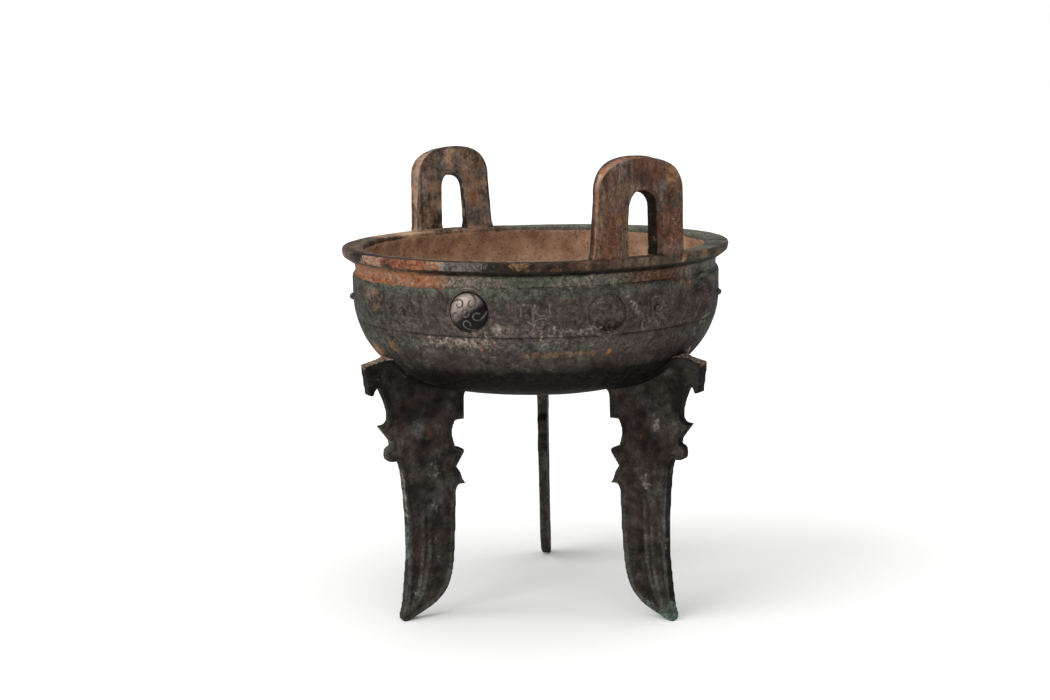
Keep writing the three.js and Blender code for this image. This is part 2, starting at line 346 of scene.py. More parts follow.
def bowl_line():
    """The bowl's section from the middle of its underside over the rim to the middle of its floor.
    Under the band the wall is cut back, so that the band's own mesh lies over it."""
    under = arc(0, floor_centre, floor_arc, 0, arc_join, 3.0)[1:]
    side_end = math.acos((belly_height - below_groove) / side_arc)
    side = arc(side_centre, belly_height, side_arc, arc_join, side_end, 2.2)[1:]
    groove = [[belly_at(z) - cut, z] for z, cut in ((233.0, 0.1), (233.7, 0.35), (234.6, groove_depth))]
    hidden = [[belly_at(z) - groove_depth, z] for z in (238, 244, 250, 256, 262, 267)]
    rim = np.array([
        [neck_radius, 268.2], [neck_radius, 274.9], [141.2, 276.5], [147.9, 281.2], [149.3, 282.4],
        [149.8, 284.6], [150.1, 287.5], [149.6, rim_top], [134.3, rim_top - 0.1], [133.2, 287.3],
        [132.9, 284.2], [134.0, 280.4], [136.2, 273.0], [138.0, 263.5], [138.6, belly_height]])
    rim = spaced(soften(rim), 62)
    inside = arc(side_centre, belly_height, side_arc - wall, math.pi / 2, arc_join, 2.8)[1:]
    floor = arc(0, floor_centre, floor_arc - wall, arc_join, 0, 3.4)[1:-1]
    return np.vstack([under, side, np.array(groove), np.array(hidden), rim, inside, floor])


# How much of each coat grows everywhere: its base, and how much that swells over wide, broad and
# small stretches.
growth = {
    "umber": (0.12, 0.12, 0.08, 0), "green": (0.34, 0.12, 0.08, 0), "bloom_and_painted_light": (0.2, 0, 0.1, 0.06),
    "rust": (0.14, 0.08, 0, 0.08), "tan": (0.18, 0, 0.08, 0.06), "ochre": (0.16, 0, 0.06, 0.08),
    "earth": (0.1, 0, 0.08, 0), "verdigris": (0.14, 0, 0, 0.06), "russet": (0.16, 0.1, 0.06, 0),
    "soot_and_painted_shade": (0.15, 0.1, 0, 0)}

# Patches round the neck and the rim's edge: the coat, its middle and half width in degrees of turn,
# how many degrees it fades over, and its strength. The last list is patches on the belly and band:
# the coat, the turn and height of its middle, its size, and its strength.
neck_patches = [
    ("rust", -50, 20, 12, 0.44), ("earth", -58, 26, 14, 0.38), ("russet", 37, 9, 10, 0.42),
    ("green", -2, 22, 14, 0.28), ("bloom_and_painted_light", 60, 6, 8, 0.22), ("tan", 15, 8, 10, 0.2), ("tan", -17, 8, 8, 0.2)]
edge_patches = [
    ("bloom_and_painted_light", -78, 10, 6, 0.1), ("soot_and_painted_shade", -61, 3, 4, 0.25), ("rust", -52, 3, 4, 0.32),
    ("earth", -52, 4, 4, 0.3), ("tan", -52, 4, 4, 0.22), ("soot_and_painted_shade", -46, 1, 2.5, 0.25),
    ("rust", -40, 3, 5, 0.24), ("russet", -40, 3, 5, 0.3), ("rust", -32, 3, 4, 0.32),
    ("earth", -32, 4, 4, 0.3), ("tan", -32, 4, 4, 0.22), ("bloom_and_painted_light", -20, 6, 5, 0.38),
    ("tan", -20, 6, 5, 0.16), ("soot_and_painted_shade", -9, 3, 4, 0.22), ("ochre", -3, 2, 4, 0.28), ("russet", 7, 5, 4, 0.22),
    ("soot_and_painted_shade", 14, 14, 6, 0.1), ("russet", 19, 2, 4, 0.2), ("ochre", 48, 3, 4, 0.24), ("rust", 56, 2, 3, 0.24)]
belly_patches = [
    ("tan", -11, 242, 4, 0.3), ("tan", 62, 234, 9, 0.2), ("tan", 62, 209, 6, 0.3),
    ("ochre", -51, 221, 7, 0.42), ("ochre", -37, 221, 3, 0.3), ("rust", 22, 221, 4, 0.45),
    ("rust", -57, 252, 10, 0.14), ("rust", -66, 213, 11, 0.4), ("rust", -17, 226, 4, 0.35),
    ("rust", 66, 252, 7, 0.25), ("bloom_and_painted_light", -56, 263, 6, 0.16), ("verdigris", 66, 240, 12, 0.3),
    ("verdigris", -70, 252, 14, 0.25)]


def patina_marks(points):
    """How strongly each coat grows at each point, as it is spread over the real vessel, with painted shade
    under the belly carried on the soot mark. The turn is the angle round the axis in degrees, 0 towards
    the camera and positive to its right."""
    radius = np.hypot(points[:, 0], points[:, 1])
    height = points[:, 2]
    turn = np.degrees(np.arctan2(points[:, 1], points[:, 0])) + 90 - view_azimuth
    turn = (turn + 180) % 360 - 180
    wide, broad, small = uneven(points, 60, 11), uneven(points, 22, 12), uneven(points, 9, 13)
    inside = smooth(-2.4, -3.0, off_belly(radius, np.minimum(height, belly_height)))
    inside *= 1 - smooth(138.6, 139, radius) * smooth(256, 262, height)
    inside *= 1 - smooth(284, 285, height)
    lip = near(height, 286.8, 1.9, 1.9) * (1 - smooth(134.5, 136, radius)) * smooth(131, 132, radius)
    neck = near(height, 274, 4.5, 2.5) * smooth(138.5, 139.8, radius)
    rim = smooth(279, 281, height) * (1 - smooth(288.5, 290, height)) * smooth(131, 132, radius)
    edge = rim * smooth(147.3, 148.6, radius)
    rim_face = rim * (1 - smooth(147.3, 148.6, radius)) * smooth(286.5, 287.5, height)
    outer_face = rim_face * smooth(139, 142.5, radius)
    band = near(height, 251.5, 16.5, 2) * smooth(139, 141, radius)
    belly = (1 - smooth(232, 236, height)) * near(off_belly(radius, height), 0, 1.0, 0.7)
    above = smooth(288, 289, height)
    left, right = smooth(-10, -60, turn), smooth(10, 60, turn)
    front, tip = near(turn, 0, 80, 10), near(turn, -92, 24, 14)
    green_side = near((turn - 125 + 180) % 360 - 180, 0, 55, 20)
    marks = {mark: a + b * wide + c * broad + d * small for mark, (a, b, c, d) in growth.items()}

    # Inside the bowl and on its lip
    marks["earth"] += inside * (0.66 + 0.08 * broad + 0.08 * wide)
    marks["rust"] += inside * (0.14 + 0.06 * small + 0.12 * broad)
    marks["ochre"] += inside * (0.04 + 0.14 * left + 0.12 * wide + 0.1 * small)
    marks["green"] += lip * (0.4 * green_side - 0.1)
    marks["earth"] += lip * 0.35 * (1 - green_side) * (1 - tip) * (1 - 0.7 * front)
    marks["soot_and_painted_shade"] += lip * (0.25 * tip + 0.1 * front)

    # Round the neck
    marks["rust"] += neck * (0.06 + 0.12 * wide)
    marks["tan"] += neck * (0.02 + (0.17 + 0.16 * small) * near(turn, -56, 32, 14))
    marks["green"] += neck * 0.14 * smooth(50, 62, turn)
    marks["umber"] += neck * (0.2 + 0.15 * broad) + rim * 0.55 + above * 0.85
    marks["soot_and_painted_shade"] -= neck * 0.1
    for mark, middle, half, fade, strength in neck_patches:
        marks[mark] += neck * strength * near(turn, middle, half, fade)

    # Along the rim's edge, in patches with ragged ends, and on its top face
    along = turn + 2.5 * small + 2 * broad
    marks["rust"] += edge * (0.04 + 0.18 * small)
    marks["russet"] += edge * 0.14
    marks["ochre"] += edge * 0.12 * small
    marks["soot_and_painted_shade"] += edge * (0.20 + 0.25 * broad)
    for mark, middle, half, fade, strength in edge_patches:
        marks[mark] += edge * strength * near(along, middle, half, fade)
    marks["soot_and_painted_shade"] += outer_face * (0.45 * near(turn, -15, 40, 25) + 0.2 * near(turn, -85, 20, 20))
    marks["earth"] += (rim_face - outer_face) * 0.25 * near(turn, 0, 35, 25)
    marks["earth"] += rim_face * 0.36 * near(turn, -126, 8, 10)
    marks["green"] += rim_face * (0.45 * green_side - 0.05)
    marks["bloom_and_painted_light"] += rim_face * 0.1 * green_side
    marks["ochre"] += rim_face * 0.1 * green_side
    marks["soot_and_painted_shade"] += rim_face * (0.2 + 0.3 * small) * near(turn, 80, 10, 12)

    # On the band and the belly, with a pale line of soil below the band and a run down the front
    marks["green"] += band * (0.08 * left + 0.02 * right + 0.16 * near(height, 266, 2, 4) - 0.04)
    marks["rust"] += band * (0.10 * near(height, 263, 3, 5) + 0.10 * smooth(0.1, 0.6, broad))
    marks["soot_and_painted_shade"] += band * (0.14 * right + 0.02)
    marks["tan"] += band * 0.21 * near(turn, 2, 16, 12) * near(height, 238, 2, 6)
    marks["tan"] += band * 0.3 * near(turn + 0.25 * (height - 254), 29, 0.4, 2.2) * near(height, 254, 5, 6)
    marks["tan"] += belly * 0.28 * near(turn, -22, 8, 12) * near(height, 230.5, 3, 6)
    marks["tan"] += belly * 0.2 * near(turn, 10, 10, 12) * near(height, 231, 1, 4)
    marks["ochre"] += belly * 0.26 * near(turn, 8, 9, 6) * near(height, 221, 1.5, 2.5)
    marks["verdigris"] += belly * 0.16 * near(height, 226, 3, 4)
    # Painted shade: the belly darkens towards its underside, least at the far left. It is also darker towards
    # the right.
    marks["soot_and_painted_shade"] += belly * (0.04 + 0.14 * right + 0.16 * (1 - left) * smooth(228, 214, height))
    marks["soot_and_painted_shade"] += belly * (0.62 - 0.4 * smooth(-35, -62, turn)) * smooth(214, 198, height)
    for mark, at_turn, at_height, size, strength in belly_patches:
        aside = np.radians((turn - at_turn + 180) % 360 - 180) * radius
        spot = np.exp(-(aside ** 2 + (height - at_height) ** 2) / size ** 2)
        marks[mark] += strength * spot * smooth(100, 110, radius)

    # On the handles, which stand above the rim
    marks["rust"] += above * (0.08 + 0.10 * broad)
    marks["russet"] += above * (0.06 + 0.24 * right + 0.2 * broad)
    marks["ochre"] += above * (0.10 + 0.10 * small)
    marks["bloom_and_painted_light"] += above * (0.14 + 0.16 * broad)
    marks["verdigris"] += above * left * 0.1
    marks["soot_and_painted_shade"] += above * (0.04 + 0.2 * broad)
    marks["earth"] += above * left * (0.26 + 0.1 * small)
    marks["green"] -= above * 0.3
    return {mark: np.clip(value, 0, 1) for mark, value in marks.items()}


def piece(name, points, faces, marks=None):
    """A closed bronze piece from points in millimetres. It rides on the vessel's one body and stands
    for the cast node, and its marks are values from 0 to 1 that the patina reads."""
    mesh = bpy.data.meshes.new(name)
    mesh.from_pydata((points * mm).tolist(), [], faces)
    mesh.polygons.foreach_set("use_smooth", np.ones(len(mesh.polygons), bool))
    for mark, values in {**patina_marks(points), **(marks or {})}.items():
        layer = mesh.attributes.new(mark, "FLOAT", "POINT")
        layer.data.foreach_set("value", np.asarray(values, np.float32))
    made = bpy.data.objects.new(name, mesh)
    bpy.context.scene.collection.objects.link(made)
    mesh.materials.append(patina)
    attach(made, "root")
    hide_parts("ding_vessel")


def grid_faces(rows, columns, closed_rows=False):
    """Quads of a grid whose last column joins its first, and whose last row may join its first."""
    r, c = np.meshgrid(np.arange(rows if closed_rows else rows - 1), np.arange(columns), indexing="ij")
    below, beside = (r + 1) % rows, (c + 1) % columns
    corners = [r * columns + c, r * columns + beside, below * columns + beside, below * columns + c]
    return np.stack(corners, axis=-1).reshape(-1, 4).tolist()


def fan(row_start, columns, tip, outward):
    """Triangles that close a row of a grid onto one point."""
    ring = [(row_start + c, row_start + (c + 1) % columns) for c in range(columns)]
    return [(a, b, tip) if outward else (b, a, tip) for a, b in ring]


def turned(line, columns):
    """Points of a line of radius and height, turned round the axis."""
    turn = np.arange(columns) * 2 * math.pi / columns
    rows = [np.stack([r * np.cos(turn), r * np.sin(turn), np.full(columns, z)], axis=1) for r, z in line]
    return np.vstack(rows)


bowl_columns = 480
line = bowl_line()
step = np.gradient(line, axis=0)
side_normal = np.stack([step[:, 1], -step[:, 0]], axis=1)
side_normal /= np.linalg.norm(side_normal, axis=1, keepdims=True)
bowl_points = turned(line, bowl_columns)
lumps = 0.35 * uneven(bowl_points, 45, 21) + 0.12 * uneven(bowl_points, 9, 22)
rim_wave = 0.45 * uneven(bowl_points * (1, 1, 0), 70, 23, 2) * smooth(276, 283, bowl_points[:, 2])
bowl_points += turned(side_normal, bowl_columns) * lumps[:, None]
bowl_points[:, 2] += rim_wave
tips = np.array([[0, 0, floor_centre - floor_arc], [0, 0, floor_centre - floor_arc + wall]])
bowl_faces = grid_faces(len(line), bowl_columns)
tip = len(bowl_points)
bowl_faces += fan(0, bowl_columns, tip, False)
bowl_faces += fan((len(line) - 1) * bowl_columns, bowl_columns, tip + 1, True)
bowl_points = np.vstack([bowl_points, tips])
bowl_radius = np.hypot(bowl_points[:, 0], bowl_points[:, 1])
# The groove under the band is darkened in patches, and painted shade lies on the slope under the rim's
# overhang, fainter towards the left.
in_groove = near(bowl_points[:, 2], 234.2, 0.5, 0.6) * smooth(137.5, 138.5, bowl_radius) * 0.6
in_groove *= smooth(-0.3, 0.4, uneven(bowl_points, 30, 24))
bowl_turn = np.degrees(np.arctan2(bowl_points[:, 1], bowl_points[:, 0])) + 90 - view_azimuth
under_rim_shade = near(bowl_points[:, 2], 279.6, 1.5, 1.2) * smooth(139, 139.8, bowl_radius)
under_rim_shade *= 1 - 0.7 * near(bowl_turn, -65, 22, 18)
piece("bowl", bowl_points, bowl_faces, {"hollow": np.maximum(in_groove, under_rim_shade)})

# The raised band round the belly, cast with it. Between the bosses each panel holds worn, squared
# scrolls cut about 0.4 mm deep, and fine lines run along both edges.
panel_count = 9
first_panel = -30
scroll_width, scroll_depth = 0.42, 0.42
edge_lines, worn_line_height = (266.6, 236.6), 261.2
boss_level = 252.5
scrolls = [
    [(-12.6, -3), (-12.8, 3.5), (-12, 5.2), (-10.5, 5.6), (-6, 5.3), (-4.8, 4.2), (-4.4, 2), (-4.4, -10.5)],
    [(-8.6, -6.3), (-6.5, -7.2), (-5.2, -9.2), (-4.8, -10.5), (-4.7, -15.9)],
    [(-3.3, 5.3), (-3.3, -11)],
    [(-2.3, 4.8), (-2.1, 0.5), (-1.2, -1.2), (0.3, -2.3), (4, -2.3)],
    [(5.4, -5.5), (5.3, -4.4), (-2.3, -4.6), (-2.3, -11), (1.5, -11)],
    [(-0.5, -7), (3, -6.6), (3, -9)],
    [(-19.5, -9.9), (-21.6, -10.9), (-21.4, -16.9), (-15.8, -17.1), (-14.9, -10.4)],
    [(-10.5, -13.4), (-9.5, -12.2), (-7.9, -12), (-6.8, -13.4), (-6.7, -15.4)],
    [(7.6, 6), (7.6, -1)],
]
worn_scrolls = [
    [(10, 9), (26, 9), (28, 7), (28, 2), (25, 0), (14, 0), (12.5, 1.5), (12.5, 5), (14, 6), (23, 6)],
    [(9, -6), (9, -15)],
    [(12, -6), (28, -6), (29, -8), (29, -14), (27, -15.5), (15, -15.5), (13.5, -14), (13.5, -9.5),
     (25, -9.5)],
    [(-31, 8), (-18, 8), (-16.5, 6.5), (-16.5, -6), (-18, -7.5), (-27, -7.5), (-28.5, -6), (-28.5, 3),
     (-21, 3)],
]


def distance_to(points, strokes):
    """The distance from each point to the nearest of several open lines."""
    nearest = np.full(len(points), 1e9)
    for stroke in strokes:
        stroke = np.asarray(stroke, float)
        for start, end in zip(stroke[:-1], stroke[1:]):
            span = end - start
            part = np.clip((points - start) @ span / (span @ span), 0, 1)
            gap = points - start - part[:, None] * span
            nearest = np.minimum(nearest, np.hypot(gap[:, 0], gap[:, 1]))
    return nearest


band_columns, face_rows = 1500, 55
band_sunk = 2.4
band_line = [[belly_at(233.9) - band_sunk, 233.9], [belly_at(234.2) - 0.45, 234.2]]
rows_before_face = len(band_line)
band_line += [[belly_at(z), z] for z in np.linspace(band_bottom + 0.3, band_top - 2.0, face_rows)]
band_line += [[142.2, band_top - 1.1], [141.6, band_top - 0.2], [140.9, band_top + 0.7]]
band_line += [[140.2, band_top + 1.4], [neck_radius - 0.8, band_top + 1.6]]
band_line += [[neck_radius - 1.4, band_top + 1.6], [neck_radius - 0.9, band_top - 0.8]]
band_line += [[belly_at(244) - band_sunk, 244]]
band_points = turned(band_line, band_columns)
turn = np.degrees(np.arctan2(band_points[:, 1], band_points[:, 0]))
pitch_angle = 360 / panel_count
in_panel = (turn - first_panel + pitch_angle / 2) % pitch_angle - pitch_angle / 2
on_panel = np.stack([np.radians(in_panel) * belly_radius, band_points[:, 2] - boss_level], axis=1)
wear = 0.4 + 0.6 * smooth(-0.45, 0.25, uneven(band_points, 26, 31))
wear = np.maximum(wear, near(turn, first_panel, 8, 5))
crisp = distance_to(on_panel, [soften(np.array(stroke, float), 1) for stroke in scrolls])
faint = distance_to(on_panel, [soften(np.array(stroke, float), 1) for stroke in worn_scrolls])
cut = (1 - smooth(scroll_width * 0.5, scroll_width * 1.8, crisp)) * wear
cut = np.maximum(cut, (1 - smooth(scroll_width * 0.5, scroll_width * 1.8, faint)) * wear ** 3 * 0.5)
fine_cut = sum(near(band_points[:, 2], z, 0.3, 0.6) for z in edge_lines)
fine_cut *= smooth(-0.5, 0.1, uneven(band_points, 40, 32))
worn_line = near(band_points[:, 2], worn_line_height, 0.3, 0.5) * smooth(15, 17, np.abs(on_panel[:, 0]))
worn_line *= smooth(-0.2, 0.3, uneven(band_points, 34, 33))
cut = np.maximum(cut, np.maximum(fine_cut * 0.45, worn_line * 0.5))
on_face = np.zeros(len(band_line))
on_face[rows_before_face:rows_before_face + face_rows] = 1
on_face = np.repeat(on_face, band_columns)
lumps = 0.3 * uneven(band_points, 45, 21) + 0.14 * uneven(band_points, 9, 22)
lumps += 0.07 * uneven(band_points, 3.5, 34, 2)
radial = band_points * (1, 1, 0)
radial /= np.linalg.norm(radial, axis=1, keepdims=True)
band_points += radial * ((lumps - cut * scroll_depth) * on_face)[:, None]
band_faces = grid_faces(len(band_line), band_columns, closed_rows=True)
in_lines = cut * on_face
piece("relief_band", band_points, band_faces, {"hollow": in_lines * 0.2, "fill": in_lines ** 2 * 0.6})

# Nine whorl bosses on the band: a dome inside two thin rings, with five hooks cut round a small ringed
# centre. They wear differently: one is proud and rubbed, with a painted highlight on its upper-left side
# and painted shade below, and the others are crusted and low, with painted shade on their lower part
# and painted light on their upper-left side.
boss_dome, inner_ring, outer_ring, boss_end = 14.1, 15.2, 16.5, 17.6
boss_back = -2.2
hook_place, hook_start, hook_arms = 8.0, 127, 5
polished_angle, front_angle = -50, -10
boss_rises = {polished_angle: 7.2, front_angle: 5.2, 30: 6.2, -90: 3.4}
front_drop = -3.0


def hook(arm):
    """One hook of the whorl: a line that runs in from the dome's rim and curls up."""
    middle = math.radians(hook_start + arm * 360 / hook_arms)
    sweep = np.linspace(0, 335, 48)
    reach = 2.6 + 4.1 * np.exp(-sweep / 28)
    toward = middle + np.radians(46 - sweep)
    centre = hook_place * np.array([math.cos(middle), math.sin(middle)])
    return centre + np.stack([reach * np.cos(toward), reach * np.sin(toward)], axis=1)


def on_belly(angle, level, flat, lift):
    """Lays a flat form on the belly at a bearing and level, raised by lift."""
    height = level + flat[:, 1]
    bearing = math.radians(angle) + flat[:, 0] / belly_radius
    radius = belly_at(height) + lift
    return np.stack([radius * np.cos(bearing), radius * np.sin(bearing), height], axis=1)


def boss(number, angle, rise, drop):
    """One boss, its crown rise above the belly. Its back lies a little inside the band."""
    spokes = 168
    turn = np.arange(spokes) * 2 * math.pi / spokes
    rings = np.r_[np.linspace(0.35, boss_dome - 0.2, 40), np.linspace(boss_dome, boss_end, 17)]
    flat = np.vstack([np.stack([q * np.cos(turn), q * np.sin(turn)], axis=1) for q in rings])
    out = np.repeat(rings, spokes)
    polished = angle == polished_angle
    crown_power = 0.62 if polished else 0.8
    dome = rise * np.maximum(1 - (np.minimum(out, boss_dome) / boss_dome) ** 2, 0) ** crown_power
    ridges = 0.75 * near(out, inner_ring, 0.2, 0.5) + 0.5 * near(out, outer_ring, 0.15, 0.5)
    ridges *= 1 if polished else 0.2
    seat = -1.1 * np.maximum(out - outer_ring - 0.4, 0)
    hooks = [hook(arm) for arm in range(hook_arms)]
    circle = np.linspace(0, 2 * math.pi, 40)
    eye = 2.4 * np.stack([np.cos(circle), np.sin(circle)], axis=1)
    cut = 1 - smooth(0.22, 0.75, distance_to(flat, hooks + [eye]))
    cut *= smooth(boss_dome, boss_dome - 0.4, out)
    bead = 0.5 * (1 - smooth(0.3, 1.8, out))
    lift = dome + ridges + seat + bead - (0.45 if polished else 0.2) * cut
    flat = np.vstack([flat, [[0, 0]], flat[-spokes:], [[0, 0]]])
    lift = np.r_[lift, rise + 0.5, np.full(spokes + 1, boss_back)]
    points = on_belly(angle, boss_level + drop, flat, lift)
    points[:, :2] *= 1 + (0.1 * uneven(points, 5, 41) / belly_radius)[:, None]
    rows = len(rings)
    faces = grid_faces(rows, spokes)
    tip = rows * spokes
    faces += fan(0, spokes, tip, False)
    edge, back = (rows - 1) * spokes, tip + 1
    faces += [(edge + c, edge + (c + 1) % spokes, back + (c + 1) % spokes, back + c) for c in range(spokes)]
    faces += fan(back, spokes, back + spokes, True)
    faces = [face[::-1] for face in faces]
    distance = np.hypot(flat[:, 0], flat[:, 1])
    toward_light = flat @ np.array([-0.55, 0.83])
    crests = near(distance, inner_ring, 0.2, 0.5) + near(distance, outer_ring, 0.2, 0.5)
    cut_fill = np.r_[cut, np.zeros(spokes + 2)] * (0.6 if polished else 0.15)
    hollows = near(distance, boss_dome + 0.3, 0.3, 0.5) * (0.5 if polished else 0.1)
    marks = patina_marks(points)
    if polished:
        # Painted highlight and shade: the rubbed dome is lighter on its upper-left side and darker on its
        # lower right.
        rubbed_and_lit = 0.55 + 0.45 * smooth(-5, 8, toward_light)
        rubbed_and_lit *= (1 - smooth(boss_dome - 0.8, boss_dome + 0.2, distance)) * (1 - cut_fill)
    else:
        rubbed_and_lit = np.zeros(len(points))
        # Painted shade on the lower part of each crusted dome, strongest on the front boss, and painted light
        # on its upper-left side.
        dome_painted_shading = smooth(boss_dome, boss_dome - 2, distance)
        marks["soot_and_painted_shade"] += (0.5 if angle == front_angle else 0.15) * dome_painted_shading * smooth(2, -11, flat[:, 1])
        marks["bloom_and_painted_light"] += 0.16 * dome_painted_shading * smooth(-4, 8, toward_light)
    marks["fill"] = cut_fill + crests * (0.35 if polished else 0.1)
    piece(f"whorl_boss_{number}", points, faces, {**marks, "hollow": hollows, "rub_and_painted_light": rubbed_and_lit})


for number in range(panel_count):
    angle = (polished_angle + number * 360 // panel_count + 180) % 360 - 180
    worn = 5.2 + 0.8 * math.sin(number * 2.3)
    boss(number + 1, angle, boss_rises.get(angle, worn), front_drop if angle == front_angle else 0.0)

# The eye studs: a small plain knob about 5 mm across beside the middle of each panel.
eye_radius, eye_rise, eye_aside, eye_level = 2.7, 2.9, -8.0, 250.0


def eye_stud(number, angle):
    spokes, rows = 32, 12
    tilt = np.linspace(0.12, math.pi / 2 + 0.5, rows)
    turn = np.arange(spokes) * 2 * math.pi / spokes
    flat = np.vstack([eye_radius * math.sin(t) * np.stack([np.cos(turn), np.sin(turn)], 1) for t in tilt])
    lift = np.repeat(eye_rise * np.cos(tilt), spokes)
    flat = np.vstack([flat, [[0, 0], [0, 0]]])
    lift = np.r_[lift, eye_rise, lift[-1]]
    points = on_belly(angle, eye_level, flat + [eye_aside, 0], lift)
    faces = grid_faces(rows, spokes) + fan(0, spokes, rows * spokes, False)
    faces += fan((rows - 1) * spokes, spokes, rows * spokes + 1, True)
    faces = [face[::-1] for face in faces]
    piece(f"eye_stud_{number}", points, faces, {"rub_and_painted_light": np.full(len(points), 0.68)})


for number in range(panel_count):
    eye_stud(number + 1, first_panel + number * pitch_angle)

# The two handles: upright arches cast on the rim. The outer face runs down into the rim's edge and
# the inner face into the bowl's wall, and a channel follows the side between two lips.
handle_top, handle_shoulder = high.z / mm, 333
corner_power = 2.35
arch_top, arch_spring, arch_half, arch_foot_half = 334.4, 319, 12.8, 14.3
handle_front, handle_depth = 147, 14.5
handle_taper = 0.075
foot_blend, outer_blend, foot_flare = 7, 24, 0.7
edge_round, crown_slope = 0.8, 1.6
channel_depth = 1.5
lip, channel_low, channel_high = 0.13, 0.56, 0.84
handle_root = rim_top - 4.2
rim_edge, rim_mouth = rim_radius - 0.35, 132.9


def arch(half, foot_half, spring, crown, power, flare):
    """An arch line from its right foot to its left foot, as distance aside and height."""
    stem = np.linspace(handle_root, spring, 60)[:-1]
    spread = foot_half + (half - foot_half) * (stem - rim_top) / (spring - rim_top)
    spread = spread + flare * (1 - smooth(rim_top, rim_top + 5.5, stem))
    sweep = np.linspace(0, math.pi, 240)
    aside = half * np.sign(np.cos(sweep)) * np.abs(np.cos(sweep)) ** (2 / power)
    rise = spring + (crown - spring) * np.sin(sweep) ** (2 / power)
    return np.stack([np.r_[spread, aside, -spread[::-1]], np.r_[stem, rise, stem[::-1]]], axis=1)


def rounded(section, radius):
    """Cuts each corner of a closed section back by about a radius, so that it comes out rounded."""
    points = []
    for before, corner, after in zip(np.roll(section, 1, 0), section, np.roll(section, -1, 0)):
        for other in (before, after):
            gap = other - corner
            length = np.linalg.norm(gap)
            points.append(corner + gap * min(radius, length * 0.45) / length)
    return soften(np.array(points + points[:1]), 2)


def turn_to(angle, points):
    """Points turned round the axis by degrees."""
    cos, sin = math.cos(math.radians(angle)), math.sin(math.radians(angle))
    return points @ np.array([[cos, sin, 0], [-sin, cos, 0], [0, 0, 1]])


def grow(marks, patches, aside, height, squash):
    """Adds patches to a piece's marks: the coat, its place aside and height, its size and strength."""
    for mark, at_aside, at_height, size, strength in patches:
        gap = np.hypot(aside - at_aside, (height - at_height) * squash)
        marks[mark] += strength * np.exp(-(gap / size) ** 2)


def handle(name, angle, half, foot_half, lean, opening, coats, seed, patches):
    """One arch. Lean is how far its crown and its feet stand off the middle. Opening is its
    opening's place aside, widening, roundness, and how it narrows and drops towards the back. Coats
    are how much soil lies in the channel and how much soot on its lips."""
    stations, around = 250, 96
    opening_aside, wider, arch_power, arch_taper, arch_drop = opening
    crust, lip_soot = coats
    outer = spaced(arch(half, foot_half, handle_shoulder, handle_top, corner_power, foot_flare), stations)
    inner = spaced(arch(arch_half + wider, arch_foot_half + wider, arch_spring, arch_top, arch_power, -1.0),
                   stations)
    inner[:, 0] += opening_aside
    rows, channels, lips, reveal_shades = [], [], [], []
    for outside, within in zip(outer, inner):
        span = np.linalg.norm(outside - within)
        floor = span - channel_depth
        channel_end = channel_low + (channel_high - channel_low) * smooth(300, 345, outside[1])
        side = [[span, 0], [span, lip], [floor, lip + 0.04], [floor, channel_end - 0.03], [span, channel_end]]
        section = np.array(side + [[span, 1], [0, 1], [0.5, 0.55], [0, 0.45], [0, 0]])
        section = rounded(section * [1, handle_depth], edge_round)
        ring = spaced(section, around + 1)[:-1]
        share = ring[:, 1] / handle_depth
        far = outside * np.stack([1 - handle_taper * share, np.ones(around)], 1)
        close = within * np.stack([1 - arch_taper * share, np.ones(around)], 1)
        close[:, 1] += (0.4 - share) * arch_drop * smooth(arch_spring, arch_top, within[1])
        flat = close + (far - close) * (ring[:, 0] / span)[:, None]
        flat[:, 0] += lean[1] + (lean[0] - lean[1]) * smooth(rim_top, handle_shoulder, flat[:, 1])
        flat[:, 1] += (share - 0.55) * crown_slope * smooth(330, 352, flat[:, 1])
        foot = 1 - smooth(rim_top - 1, rim_top + foot_blend, flat[:, 1])
        outer_foot = 1 - smooth(rim_top - 1, rim_top + outer_blend, flat[:, 1])
        circle = np.sqrt(rim_edge ** 2 - flat[:, 0] ** 2)
        mouth = np.sqrt(rim_mouth ** 2 - flat[:, 0] ** 2)
        front = np.minimum(handle_front, circle)
        front += (circle - front) * outer_foot
        back = handle_front - handle_depth
        back += (mouth - back) * foot * 0.3
        rows.append(np.stack([front - share * (front - back), flat[:, 0], flat[:, 1]], axis=1))
        on_side = ring[:, 0] > span - 2.4
        channels.append(on_side * smooth(0.13, 0.2, share) * smooth(channel_end, channel_end - 0.06, share))
        lips.append(on_side * smooth(channel_end - 0.02, channel_end + 0.03, share))
        # Painted shade on the half of the opening's inner face that lies further from the camera.
        reveal_shades.append((ring[:, 0] < 1.2) * smooth(0.35, 0.5, share if angle == 0 else 1 - share))
    points = np.vstack(rows)
    out = points - np.repeat([row.mean(axis=0) for row in rows], around, axis=0)
    out /= np.linalg.norm(out, axis=1, keepdims=True)
    lumps = 0.30 * uneven(points + seed, 22, 51) + 0.15 * uneven(points + seed, 6, 52)
    above_foot = smooth(rim_top - 2, rim_top + 3, points[:, 2])
    points = points + out * (lumps * above_foot)[:, None]
    tip = len(points)
    points = np.vstack([points, rows[0].mean(axis=0), rows[-1].mean(axis=0)])
    faces = grid_faces(stations, around)
    faces += fan(0, around, tip, False) + fan((stations - 1) * around, around, tip + 1, True)
    points = turn_to(angle, points)
    marks = patina_marks(points)
    grow(marks, patches, points[:, 1], points[:, 2], 0.7)
    in_channel, on_lip, reveal_shade = [np.r_[np.concatenate(part), 0, 0] for part in (channels, lips, reveal_shades)]
    marks["earth"] += crust * in_channel - 0.2 * on_lip
    marks["rust"] = np.clip(marks["rust"] + crust * 0.6 * in_channel - 0.2 * on_lip, 0, 1) - 0.3 * reveal_shade
    marks["soot_and_painted_shade"] += lip_soot * on_lip + 0.6 * reveal_shade
    marks = {mark: np.clip(value, 0, 1) for mark, value in marks.items()}
    piece(name, points, faces, marks)


